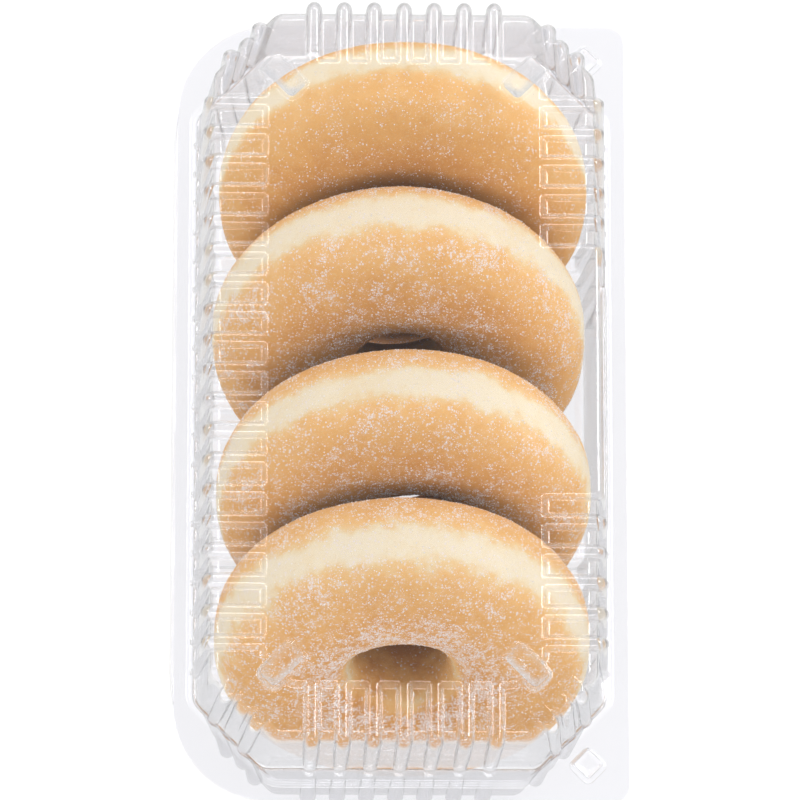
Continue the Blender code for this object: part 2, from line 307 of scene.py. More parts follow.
def sheet_rows(depth, bead, bead_inset, rib_foot):
    """The rounds of the sheet from crown to flange: outlines, height, rib swell and rib climb."""
    rows = []
    for out, drop in CROWN_EDGE:
        share = out / BAND_WIDTH
        swell = RIB_SWELL * share * share * (3.0 - 2.0 * share)
        rows.append((CROWN, 0.0, SHOULDER, -SHOULDER_RADIUS, share, depth - drop, swell, drop))
    power = 2.0 / SHOULDER_SHARPNESS
    top = depth - BAND_DROP - SHOULDER_RADIUS
    for angle in (12, 24, 36, 48, 60, 75, 90):
        out = math.sin(math.radians(angle)) ** power
        up = max(math.cos(math.radians(angle)), 0.0) ** power
        height = top + SHOULDER_RADIUS * up
        climb = depth - RIB_RADIUS + RIB_RADIUS * up - height
        place = SHOULDER_RADIUS * (out - 1.0)
        rows.append((SHOULDER, place, SHOULDER, place, 0.0, height, RIB_SWELL, climb))
    foot = bead + FLANGE_FACE
    for share in (0.1, 0.25, 0.45, 0.65, 0.83, 0.965):
        height = top + (foot - top) * share
        swell = RIB_SWELL + (rib_foot - RIB_SWELL) * share
        climb = (BAND_DROP + SHOULDER_RADIUS - RIB_RADIUS) * (1.0 - share)
        rows.append((SHOULDER, 0.0, FOOT, 0.0, share, height, swell, climb))
    for out, up, swell in ((0.1, 0.35, 1.0), (0.35, 0.08, 1.0), (0.7, 0.0, 0.7)):
        rows.append((FOOT, out, FOOT, out, 0.0, foot + up, rib_foot * swell, 0.0))
    inner, outer = inset(BEAD_INNER, bead_inset), inset(BEAD_OUTER, bead_inset)
    for share, out, fall in BEAD_SLOPE:
        rows.append((inner, out, outer, out, share, foot - bead * fall, 0.0, 0.0))
    return rows


def inset(outline, amount):
    """The outline moved inwards."""
    half_x, half_y, leg, radius = outline
    shorter = amount * (2.0 - math.sqrt(2.0))
    return half_x - amount, half_y - amount, leg - shorter, max(radius - amount, 0.5)


def distance_out(x, y, outline):
    """How far a point lies outside an outline, less than zero inside it."""
    half_x, half_y, leg, radius = outline
    half_x, half_y = half_x - radius, half_y - radius
    leg = max(leg - radius * (2.0 - math.sqrt(2.0)), 0.001)
    x, y = abs(x), abs(y)
    planes = max(x - half_x, y - half_y, (x + y - half_x - half_y + leg) / math.sqrt(2.0))
    if planes <= 0.0:
        return planes - radius
    corners = ((half_x, 0.0), (half_x, half_y - leg), (half_x - leg, half_y), (0.0, half_y))
    nearest = 1e9
    for (ax, ay), (bx, by) in zip(corners, corners[1:]):
        length = (bx - ax) ** 2 + (by - ay) ** 2
        share = min(max(((x - ax) * (bx - ax) + (y - ay) * (by - ay)) / length, 0.0), 1.0)
        nearest = min(nearest, math.hypot(x - ax - share * (bx - ax), y - ay - share * (by - ay)))
    return nearest - radius


def flange_points(turn, rounds):
    """Where each station meets the flange's own edge, which turns wider corners than the walls."""
    count = len(turn)
    points = [None] * count
    for k, (stretch, quadrant, place, *_) in enumerate(turn):
        if stretch == "side":
            x = FLANGE[0] if quadrant == 0 else HINGE_FOLD - FLANGE[0]
            points[k] = np.array((x, place))
        elif stretch == "end":
            points[k] = np.array((place, FLANGE[1] if quadrant == 1 else -FLANGE[1]))
    for quadrant, (sx, sy) in enumerate(((1, 1), (-1, 1), (-1, -1), (1, -1))):
        corner = [
            k for k in range(count) if turn[k][0] in ("curve", "cut") and turn[k][1] == quadrant
        ]
        chain = [corner[0] - 1, *corner, (corner[-1] + 1) % count]
        radius = LOCK_CORNER if sx > 0 else HINGE_CORNER
        reach = FLANGE[0] if sx > 0 else FLANGE[0] - HINGE_FOLD
        centre = np.array((sx * (reach - radius), sy * (FLANGE[1] - radius)))
        path = [points[chain[0]]]
        for step in range(25):
            angle = math.radians(90.0 * (quadrant + step / 24.0))
            path.append(centre + radius * np.array((math.cos(angle), math.sin(angle))))
        path.append(points[chain[-1]])
        path = np.array(path)
        walked = np.concatenate(([0.0], np.cumsum(np.linalg.norm(np.diff(path, axis=0), axis=1))))
        wall = np.array([rounds[k] for k in chain])
        share = np.concatenate(([0.0], np.cumsum(np.linalg.norm(np.diff(wall, axis=0), axis=1))))
        share *= walked[-1] / share[-1]
        for k, at in zip(chain[1:-1], share[1:-1]):
            points[k] = np.array([np.interp(at, walked, path[:, axis]) for axis in (0, 1)])
    return points


def contour(centre, turned, outline, inward):
    """Points about half a millimetre apart round a rounded rectangle, set in by some amount."""
    half_x, half_y, _, radius = outline
    half_x, half_y, radius = half_x - inward, half_y - inward, max(radius - inward, 0.3)
    ring = []
    for number, (sx, sy) in enumerate(((1, 1), (-1, 1), (-1, -1), (1, -1))):
        for step in range(9):
            angle = math.radians(90.0 * (number + step / 8.0))
            ring.append((sx * (half_x - radius) + radius * math.cos(angle),
                         sy * (half_y - radius) + radius * math.sin(angle)))
    dense = []
    for (ax, ay), (bx, by) in zip(ring, ring[1:] + ring[:1]):
        steps = max(1, round(math.hypot(bx - ax, by - ay) / 0.6))
        dense += [(ax + (bx - ax) * k / steps, ay + (by - ay) * k / steps) for k in range(steps)]
    c, s = math.cos(turned), math.sin(turned)
    return [(centre[0] + c * x - s * y, centre[1] + s * x + c * y) for x, y in dense]


def from_raised(x, y, raised):
    """How far a point lies outside a raised, turned shape."""
    (middle_x, middle_y), turned, outline = raised
    c, s = math.cos(turned), math.sin(turned)
    return distance_out(
        c * (x - middle_x) + s * (y - middle_y), c * (y - middle_y) - s * (x - middle_x), outline
    )


def eased(share):
    """A share from 0 to 1 that starts and ends softly."""
    share = min(max(share, 0.0), 1.0)
    return share * share * (3.0 - 2.0 * share)


def fill(points, faces, border, inner, height):
    """Fills a closed border of known points with triangles over more points of known height."""
    flat = [Vector(points[k][:2]) for k in border] + [Vector(p) for p in inner]
    size = len(border)
    edges = [(k, (k + 1) % size) for k in range(size)]
    spots, _, triangles, sources, _, _ = delaunay_2d_cdt(flat, edges, [], 1, 1e-5)
    index = []
    for spot, source in zip(spots, sources):
        if source and source[0] < size:
            index.append(border[source[0]])
        else:
            index.append(len(points))
            points.append((spot.x, spot.y, height(spot.x, spot.y)))
    for triangle in triangles:
        a, b, c = (index[k] for k in triangle)
        if len({a, b, c}) == 3:
            faces.append((a, b, c))


# Stacking pads on the lid's crown corners: out from the crown's corner, half length, half width
PAD_MIDDLE = -4.15
PAD_OUTLINE = (6.35, 3.8, 0.0, 2.5)
PAD_RISE = 1.2
PAD_SLOPES = (-0.3, 0.0, 0.1, 0.25, 0.45, 0.65, 0.85, 1.0, 1.1)
BUTTON_PLACE = (45.4, 87.6)
BUTTON_OUTLINE = (3.5, 3.5, 0.0, 1.5)
BUTTON_SLOPES = (-0.35, 0.0, 0.12, 0.3, 0.5, 0.7, 0.82, 1.2, 1.35, 1.5, 1.65)
# A button's dished top: width of its slope, where the dish starts, its slope and its depth
BUTTON_SLOPE = 0.82
DISH_INSET = 1.2
DISH_SLOPE = 0.45
DISH_DEPTH = 0.3
PAD_SLOPE = 1.1
# The crown sags a little as it cools: how far, and how far in from its edge it is at its fullest
WARP = 0.18
WARP_INSET = 8.0
CROWN_STEP = 5.5
# Flat margins inside the crown's edge and the flange's, which keep the curved edges narrow
CROWN_MARGIN = 0.45
FLANGE_MARGIN = 0.35


def crown_height(x, y, depth, pads):
    """Height of the crown and, at its corners, of the band round it, with any pads on them."""
    beside = distance_out(x, y, CROWN)
    band = -distance_out(x, y, inset(SHOULDER, SHOULDER_RADIUS))
    out = BAND_WIDTH * max(beside, 0.0) / max(max(beside, 0.0) + band, 0.001)
    drop = float(np.interp(out, *zip(*CROWN_EDGE)))
    inside = eased(-beside / WARP_INSET)
    warp = WARP * inside * (0.6 + 0.4 * math.sin(x / 9.0 + 1.0) * math.cos(y / 13.0))
    height = depth - drop - warp
    for pad in pads:
        share = eased(-from_raised(x, y, pad) / PAD_SLOPE)
        height += share * (depth + PAD_RISE - height)
    return height


def button_height(x, y, buttons, rise):
    """Height of the flange round a press button or stud: a rounded square with a dished top."""
    height = FLANGE_FACE
    for button in buttons:
        inward = -from_raised(x, y, button)
        dish = DISH_DEPTH * eased((inward - DISH_INSET) / DISH_SLOPE)
        height += rise * (eased(inward / BUTTON_SLOPE) - dish)
    return height


def formed_sheet(name, depth, bead, bead_inset, rib_foot, has_pads, button_rise):
    """The smooth sheet, its ribs still to come: points, faces and what the ribs need of each."""
    turn = round_stations()
    rows = sheet_rows(depth, bead, bead_inset, rib_foot)
    points, outward, swell, climb = [], [], [], []
    for first, first_out, second, second_out, share, height, rib_swell, rib_climb in rows:
        for station in turn:
            here, way = on_outline(station, first)
            there, _ = on_outline(station, second)
            flat = (here + way * first_out) * (1.0 - share) + (there + way * second_out) * share
            points.append((flat[0], flat[1], height))
            outward.append((way[0], way[1], 0.0))
            swell.append(rib_swell)
            climb.append(0.0 if station[0] == "cut" else rib_climb)
    count = len(turn)
    wall = [points[(len(rows) - 1) * count + k][:2] for k in range(count)]
    edge = flange_points(turn, wall)
    for spot, away in zip(edge, wall):
        back = (np.array(away) - spot) * FLANGE_MARGIN / np.linalg.norm(np.array(away) - spot)
        points.append((spot[0] + back[0], spot[1] + back[1], FLANGE_FACE))
    points += [(p[0], p[1], FLANGE_FACE) for p in edge]
    total = len(rows) + 2
    corner = [station[0] in ("curve", "cut") for station in turn]
    lock = [corner[k] and turn[k][1] in (0, 3) for k in range(count)]
    band = len(CROWN_EDGE) - 1
    faces = []
    for row in range(total - 1):
        for k in range(count):
            after = (k + 1) % count
            if row < band and (corner[k] or corner[after]):
                continue
            if row == total - 3 and (lock[k] or lock[after]):
                continue
            a, b = row * count, (row + 1) * count
            faces.append((a + k, b + k, b + after, a + after))
    pads = []
    buttons = []
    for sx, sy in ((1, 1), (-1, 1), (-1, -1), (1, -1)):
        way = math.atan2(sy, sx)
        if has_pads:
            x = CROWN[0] * sx + PAD_MIDDLE * math.cos(way)
            y = CROWN[1] * sy + PAD_MIDDLE * math.sin(way)
            pads.append(((x, y), way, PAD_OUTLINE))
        if sx > 0:
            spot = (BUTTON_PLACE[0], BUTTON_PLACE[1] * sy)
            buttons.append((spot, math.radians(45.0), BUTTON_OUTLINE))
    border = []
    for k in range(count):
        after, before = (k + 1) % count, (k - 1) % count
        if not corner[k]:
            column = [row * count + k for row in range(band + 1)]
            if corner[before]:
                border += list(reversed(column))
            elif corner[after]:
                border += column
            else:
                border.append(k)
        else:
            border.append(band * count + k)
    inner = []
    for row in range(band):
        for k in range(count):
            spot = points[row * count + k][:2]
            if corner[k] and all(from_raised(*spot, pad) > 0.35 for pad in pads):
                inner.append(spot)
    for k in range(count):
        spot = tuple(on_outline(turn[k], inset(CROWN, CROWN_MARGIN))[0])
        if not corner[k] and all(from_raised(*spot, pad) > 0.35 for pad in pads):
            inner.append(spot)
    for pad in pads:
        for inward in PAD_SLOPES:
            inner += contour(pad[0], pad[1], pad[2], inward)
    for i in range(-5, 6):
        for j in range(-12, 13):
            spot = (i * CROWN_STEP, j * CROWN_STEP)
            if distance_out(*spot, CROWN) < -1.5 and all(from_raised(*spot, p) > 0.6 for p in pads):
                inner.append(spot)
    fill(points, faces, border, inner, lambda x, y: crown_height(x, y, depth, pads))
    for button in buttons:
        quadrant = 0 if button[0][1] > 0 else 3
        ks = [k for k in range(count) if corner[k] and turn[k][1] == quadrant]
        chain = [ks[0] - 1, *ks, (ks[-1] + 1) % count]
        rim, margin = (total - 3) * count, (total - 2) * count
        border = [rim + k % count for k in chain] + [margin + k % count for k in reversed(chain)]
        inner = []
        for inward in BUTTON_SLOPES:
            inner += contour(button[0], button[1], button[2], inward)
        fill(points, faces, border, inner, lambda x, y: button_height(x, y, buttons, button_rise))
    mesh = bpy.data.meshes.new(name)
    mesh.from_pydata([(x * MM, y * MM, z * MM) for x, y, z in points], [], faces)
    spare = len(points) - len(swell)
    fields = {
        "rib_place": [s[3] * MM for s in turn] * len(rows),
        "rib_widening": [s[4] for s in turn] * len(rows),
        "rib_strength": [s[5] for s in turn] * len(rows),
        "panel_gap": [s[6] for s in turn] * len(rows),
        "rib_swell": [s * MM for s in swell],
        "rib_climb": [c * MM for c in climb],
    }
    for field, values in fields.items():
        made = mesh.attributes.new(field, "FLOAT", "POINT")
        made.data.foreach_set("value", values + [0.0] * spare)
    directions = np.zeros((len(points), 3), np.float32)
    directions[:len(outward)] = outward
    mesh.attributes.new("rib_outward", "FLOAT_VECTOR", "POINT").data.foreach_set(
        "vector", directions.ravel()
    )
    mesh.shade_smooth()
    made = bpy.data.objects.new(name, mesh)
    bpy.context.scene.collection.objects.link(made)
    return made


def rib_tree():
    """Presses ribs with half round tops into a smooth wall, where a wide panel counts as one."""
    tree = bpy.data.node_groups.new("pressed_ribs", "GeometryNodeTree")
    socket = tree.interface.new_socket
    socket("Geometry", in_out="INPUT", socket_type="NodeSocketGeometry")
    for label, value in (("Rib half width", RIB_HALF * MM), ("Rib pitch", SIDE_PITCH * MM),
                         ("Rib radius", RIB_HALF * MM)):
        socket(label, in_out="INPUT", socket_type="NodeSocketFloat").default_value = value
    socket("Sheet", in_out="INPUT", socket_type="NodeSocketMaterial")
    socket("Geometry", in_out="OUTPUT", socket_type="NodeSocketGeometry")
    given = add(tree, "NodeGroupInput")
    field = {
        name: add(tree, "GeometryNodeInputNamedAttribute", {"data_type": "FLOAT", "Name": name})
        for name in ("rib_place", "rib_widening", "rib_strength", "panel_gap", "rib_swell",
                     "rib_climb")
    }
    outward = add(tree, "GeometryNodeInputNamedAttribute",
                  {"data_type": "FLOAT_VECTOR", "Name": "rib_outward"})
    math_node = "ShaderNodeMath"
    steps = add(tree, math_node, {"operation": "DIVIDE"},
                {0: field["rib_place"].outputs[0], 1: given.outputs["Rib pitch"]})
    nearest = add(tree, math_node, {"operation": "ROUND"}, {0: steps.outputs[0]})
    beside = add(tree, math_node, {"operation": "SUBTRACT"},
                 {0: steps.outputs[0], 1: nearest.outputs[0]})
    gap = add(tree, math_node, {"operation": "ABSOLUTE"}, {0: beside.outputs[0]})
    length = add(tree, math_node, {"operation": "MULTIPLY"},
                 {0: gap.outputs[0], 1: given.outputs["Rib pitch"]})
    width = add(tree, math_node, {"operation": "MULTIPLY"},
                {0: given.outputs["Rib half width"], 1: field["rib_widening"].outputs[0]})
    off_rib = add(tree, math_node, {"operation": "DIVIDE"},
                  {0: length.outputs[0], 1: width.outputs[0]})
    off_all = add(tree, math_node, {"operation": "MINIMUM"},
                  {0: off_rib.outputs[0], 1: field["panel_gap"].outputs[0]})
    limited = add(tree, math_node, {"operation": "MINIMUM", 1: 1.0}, {0: off_all.outputs[0]})
    squared = add(tree, math_node, {"operation": "POWER", 1: 2.0}, {0: limited.outputs[0]})
    left = add(tree, math_node, {"operation": "SUBTRACT", 0: 1.0}, {1: squared.outputs[0]})
    section = add(tree, math_node, {"operation": "SQRT"}, {0: left.outputs[0]})
    below_top = add(tree, math_node, {"operation": "SUBTRACT", 0: 1.0}, {1: section.outputs[0]})
    fall = add(tree, math_node, {"operation": "MULTIPLY"},
               {0: below_top.outputs[0], 1: given.outputs["Rib radius"]})
    on_rib = add(tree, math_node, {"operation": "LESS_THAN", 1: 1.0}, {0: limited.outputs[0]})
    strength = add(tree, math_node, {"operation": "MULTIPLY"},
                   {0: on_rib.outputs[0], 1: field["rib_strength"].outputs[0]})

    def reached(name):
        full = add(tree, math_node, {"operation": "SUBTRACT"},
                   {0: field[name].outputs[0], 1: fall.outputs[0]})
        above = add(tree, math_node, {"operation": "MAXIMUM", 1: 0.0}, {0: full.outputs[0]})
        return add(tree, math_node, {"operation": "MULTIPLY"},
                   {0: above.outputs[0], 1: strength.outputs[0]})

    out, up = reached("rib_swell"), reached("rib_climb")
    sideways = add(tree, "ShaderNodeVectorMath", {"operation": "SCALE"},
                   {0: outward.outputs[0], "Scale": out.outputs[0]})
    rise = add(tree, "ShaderNodeCombineXYZ", None, {"Z": up.outputs[0]})
    move = add(tree, "ShaderNodeVectorMath", {"operation": "ADD"},
               {0: sideways.outputs[0], 1: rise.outputs[0]})
    pressed = add(tree, "GeometryNodeSetPosition", None,
                  {"Geometry": given.outputs["Geometry"], "Offset": move.outputs[0]})
    realized = add(tree, "GeometryNodeRealizeInstances", None, {"Geometry": pressed.outputs[0]})
    finished = add(tree, "GeometryNodeSetMaterial", None,
                   {"Geometry": realized.outputs[0], "Material": given.outputs["Sheet"]})
    add(tree, "NodeGroupOutput", None, {"Geometry": finished.outputs[0]})
    return tree


PET_INDEX = 1.575
PET_ROUGHNESS = 0.045
# How steeply the gloss and the haze grow towards a grazing look, and the haze's share there
GRAZING_POWER = 3.3
HAZE = 0.42
HAZE_POWER = 4.5


def clear_pet():
    """Thermoformed PET sheet: clear, hard and very glossy, with the slow ripple of drawn film.

    What it reflects face on is that of its index. It grows early towards a grazing look, as in a
    sheet whose surface isn't quite even, and there the sheet's faint haze shows too.
    """
    material = bare_material("thermoformed_clear_pet")
    tree = material.node_tree
    face_on = ((PET_INDEX - 1.0) / (PET_INDEX + 1.0)) ** 2
    place = add(tree, "ShaderNodeTexCoord")
    ripple = add(tree, "ShaderNodeTexNoise", {"Scale": 1.0 / (11.0 * MM), "Detail": 1.5},
                 {"Vector": place.outputs["Object"]})
    surface = add(tree, "ShaderNodeBump", {"Strength": 0.35, "Distance": 0.15 * MM},
                  {"Height": ripple.outputs["Fac"]})
    look = add(tree, "ShaderNodeLayerWeight", {"Blend": 0.5}, {"Normal": surface.outputs[0]})
    grazing = add(tree, "ShaderNodeMath", {"operation": "POWER", 1: GRAZING_POWER},
                  {0: look.outputs["Facing"]})
    share = add(tree, "ShaderNodeMath", {"operation": "MULTIPLY_ADD", 1: 1.0 - face_on, 2: face_on},
                {0: grazing.outputs[0]})
    clear = add(tree, "ShaderNodeBsdfTransparent", {"Color": linear("FEFEFF")})
    deep = add(tree, "ShaderNodeMath", {"operation": "POWER", 1: HAZE_POWER},
               {0: look.outputs["Facing"]})
    haze = add(tree, "ShaderNodeMath", {"operation": "MULTIPLY", 1: HAZE}, {0: deep.outputs[0]})
    milk = add(tree, "ShaderNodeBsdfDiffuse", {"Color": linear("FAFBFC")})
    through = add(tree, "ShaderNodeMixShader", None,
                  {0: haze.outputs[0], 1: clear.outputs[0], 2: milk.outputs[0]})
    shine = add(tree, "ShaderNodeBsdfGlossy", {"Roughness": PET_ROUGHNESS},
                {"Normal": surface.outputs[0]})
    sheet = add(tree, "ShaderNodeMixShader", None,
                {0: share.outputs[0], 1: through.outputs[0], 2: shine.outputs[0]})
    add(tree, "ShaderNodeOutputMaterial", None, {"Surface": sheet.outputs[0]})
    return material


def press(smooth, tree, material, thickness):
    """Presses the ribs, gives the sheet its thickness on the hidden face, and keeps the result."""
    ribs = smooth.modifiers.new("Ribs", "NODES")
    ribs.node_group = tree
    for item in tree.interface.items_tree:
        if item.name == "Sheet":
            ribs[item.identifier] = material
        elif item.name in ("Rib half width", "Rib pitch", "Rib radius"):
            ribs[item.identifier] = item.default_value
    wall = smooth.modifiers.new("Sheet", "SOLIDIFY")
    wall.thickness = thickness * MM
    wall.offset = -1.0
    depsgraph = bpy.context.evaluated_depsgraph_get()
    mesh = bpy.data.meshes.new_from_object(smooth.evaluated_get(depsgraph))
    old = smooth.data
    smooth.modifiers.clear()
    smooth.data = mesh
    bpy.data.meshes.remove(old)
    for field in [a.name for a in mesh.attributes if a.name.startswith(("rib_", "panel_"))]:
        mesh.attributes.remove(mesh.attributes[field])
    mesh.name = smooth.name
    return smooth


def stand(half, level, mouth_up):
    """Puts a half's flange at a level, with its mouth up or down."""
    mesh = half.data
    places = np.zeros(len(mesh.vertices) * 3, np.float32)
    mesh.vertices.foreach_get("co", places)
    places[2::3] = level * MM + (-places[2::3] if mouth_up else places[2::3])
    mesh.vertices.foreach_set("co", places)
    if mouth_up:
        mesh.flip_normals()
    mesh.update()


pet = clear_pet()
ribs_tree = rib_tree()
tray_sheet = formed_sheet(
    "tray_sheet", TRAY_DEPTH, TRAY_BEAD, TRAY_BEAD_INSET, TRAY_RIB_FOOT, False, STUD_RISE
)
press(tray_sheet, ribs_tree, pet, SHEET)
stand(tray_sheet, TRAY_DEPTH, True)
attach(tray_sheet, "base")
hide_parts("tray")

# Doughnuts
# Four rings of yeast dough, fried on one face and then the other, which browns both faces and
# leaves a pale band where each floated. They stand on edge in the tray and lean back in a row.
RING_RADIUS = 46.0
HOLE_RADIUS = 10.0
HALF_THICKNESS = 15.5
PLUMPNESS = 2.6
AROUND_STEPS = 280
ACROSS_STEPS = 104
# Lean back from upright and turn in its own plane, in degrees
DOUGHNUTS = ((30.0, 20.0), (30.5, 140.0), (27.5, 250.0), (26.5, 75.0))
# Pale band: its middle and half width, as shares of half the thickness
BANDS = ((-0.1, 0.22), (0.02, 0.25), (0.13, 0.22), (0.31, 0.25))
# How much sugar clings: all over, towards the hole, and in patches
SUGARING = ((0.07, 0.0, 0.16), (0.2, 0.3, 0.65), (0.22, 0.3, 0.6), (0.26, 0.8, 0.45))
# Crust colours from the pale band to the most browned face
CRUST = (
    (0.0, "F1E2C4"), (0.1, "F0DCB6"), (0.24, "EECA92"),
    (0.42, "EFBD7C"), (0.62, "E8AD66"), (0.95, "CE8845"),
)
PORE = "E8CFA0"
SUGAR_DUST = "F0E2DA"
CRUST_ROUGHNESS = 0.62
CRUST_SPECULAR = 0.12
# Cell sizes of the larger and smaller specks of sugar, in millimetres
COARSE_SPECK = 0.75
FINE_SPECK = 0.4


def signed_power(value, power):
    """A power that keeps the sign."""
    return math.copysign(abs(value) ** power, value)


def ring_point(number, around, across):
    """A point of an uneven ring: angle round the hole, and angle round its plump section."""
    phase = 2.1 * number
    outer = RING_RADIUS * (1.0 - 0.006 * (1.0 + math.sin(2.0 * around + phase)))
    hole = HOLE_RADIUS * (1.0 + 0.08 * math.sin(2.0 * around + 1.3 * phase))
    hole *= 1.0 + 0.05 * math.sin(3.0 * around + phase)
    middle = (outer + hole) / 2.0
    reach = (outer - hole) / 2.0
    half = HALF_THICKNESS * (1.0 - 0.012 * (1.0 + math.sin(3.0 * around + 2.0 * phase)))
    radius = middle + reach * signed_power(math.cos(across), 2.0 / PLUMPNESS)
    height = half * signed_power(math.sin(across), 2.0 / PLUMPNESS)
    return Vector((radius * math.cos(around), radius * math.sin(around), height))


def sunk(number, spot, level):
    """How far the crust lies under the plain ring, in millimetres: slow lumps, then dimples."""
    at = spot + Vector((0.0, 0.0, 60.0 * number))
    lumps = 0.5 + 0.5 * noise.noise(at / 17.0)
    dimples = 0.5 + 0.5 * noise.noise(at / 4.5)
    rim = math.exp(-((abs(level) - 0.52) / 0.07) ** 2)
    return 0.55 * lumps + 0.16 * dimples + 0.12 * rim


def doughnut(number, lean, turned, material):
    """One ring with its relief, and how far each point is across and along the crust."""
    spots, levels, reaches, off_band = [], [], [], []
    middle, half_band = BANDS[number - 1]
    for i in range(AROUND_STEPS):
        around = math.tau * i / AROUND_STEPS
        for j in range(ACROSS_STEPS):
            spot = ring_point(number, around, math.tau * (j + 0.5) / ACROSS_STEPS)
            spots.append(spot)
            levels.append(spot.z / HALF_THICKNESS)
            radius = math.hypot(spot.x, spot.y)
            reaches.append((radius - HOLE_RADIUS) / (RING_RADIUS - HOLE_RADIUS))
            in_hole = 1.0 - eased(reaches[-1] / 0.2)
            off_band.append(max(abs(levels[-1] - middle) / half_band, 1.7 * in_hole))
    faces = []
    for i in range(AROUND_STEPS):
        first, second = i * ACROSS_STEPS, (i + 1) % AROUND_STEPS * ACROSS_STEPS
        for j in range(ACROSS_STEPS):
            after = (j + 1) % ACROSS_STEPS
            faces.append((first + j, second + j, second + after, first + after))
    mesh = bpy.data.meshes.new(f"crust_{number}")
    mesh.from_pydata(spots, [], faces)
    outward = [vertex.normal.copy() for vertex in mesh.vertices]
    for vertex, spot, way, level in zip(mesh.vertices, spots, outward, levels):
        vertex.co = spot - way * sunk(number, spot, level)
    cover = [sugar_cover(number, *each) for each in zip(spots, levels, reaches)]
    tilt = Euler((math.radians(90.0 - lean), 0.0, 0.0)).to_matrix()
    mesh.transform((tilt @ Euler((0.0, 0.0, math.radians(turned))).to_matrix()).to_4x4() * MM)
    low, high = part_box(f"doughnut_{number}")
    places = np.array([v.co for v in mesh.vertices])
    shift = np.array((low + high) / 2.0) - (places.min(0) + places.max(0)) / 2.0
    mesh.vertices.foreach_set("co", (places + shift).ravel())
    for field, values in (("off_band", off_band), ("crust_reach", reaches), ("sugar_cover", cover)):
        mesh.attributes.new(field, "FLOAT", "POINT").data.foreach_set("value", values)
    mesh.materials.append(material)
    mesh.shade_smooth()
    made = bpy.data.objects.new(f"crust_{number}", mesh)
    bpy.context.scene.collection.objects.link(made)
    return made


def sugar_cover(number, spot, level, reach):
    """Share of the fullest sugaring at a point: more near the hole, and less on the band."""
    overall, by_hole, patchy = SUGARING[number - 1]
    at = spot + Vector((40.0 * number, 0.0, 0.0))
    patches = eased((noise.noise(at / 8.0) + 0.7 * noise.noise(at / 2.4) + 0.1) / 0.9)
    near_hole = eased((0.62 - reach) / 0.5)
    cover = overall + by_hole * near_hole + patchy * patches
    middle, half_band = BANDS[number - 1]
    on_band = 1.0 - eased((abs(level - middle) / half_band - 0.7) / 0.8)
    in_hole = 1.0 - eased((reach - 0.07) / 0.13)
    return cover * (1.0 - 0.5 * on_band * eased(reach / 0.5)) * (1.0 - 0.93 * in_hole)


